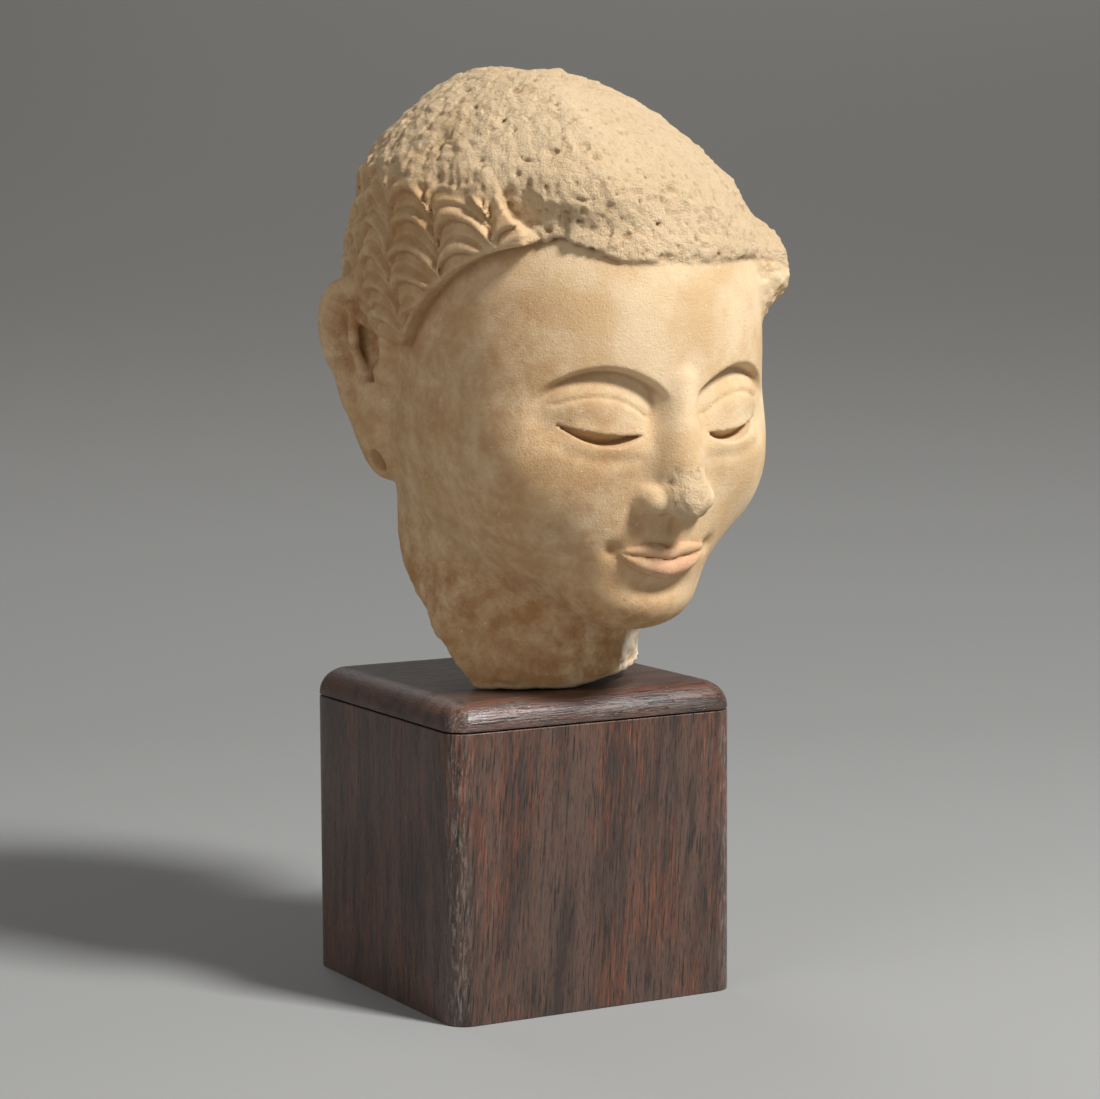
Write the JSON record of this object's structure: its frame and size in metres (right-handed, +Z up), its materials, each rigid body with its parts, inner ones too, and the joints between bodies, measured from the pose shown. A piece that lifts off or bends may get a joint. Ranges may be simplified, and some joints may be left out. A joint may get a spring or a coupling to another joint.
{
  "type": "stucco head on a wooden plinth",
  "caption": "Antique-style stucco head of a calm figure with lowered eyes and worn wavy hair, broken at the neck, resting on a square dark wooden block plinth.",
  "frame": {"origin": "middle of the plinth's underside", "axes": "+Z up, -Y out of the plinth's front, which the face looks over, +X to the figure's own left"},
  "size_m": [0.1373, 0.1497, 0.2946],
  "materials": {
    "dark_wood": "semi-gloss, open-pored, near-black brown",
    "stucco": "matte, sandy, warm buff"
  },
  "bodies": {
    "root": {"plinth_body": "dark_wood", "plinth_cap": "dark_wood", "head": "stucco"}
  },
  "joints": []
}
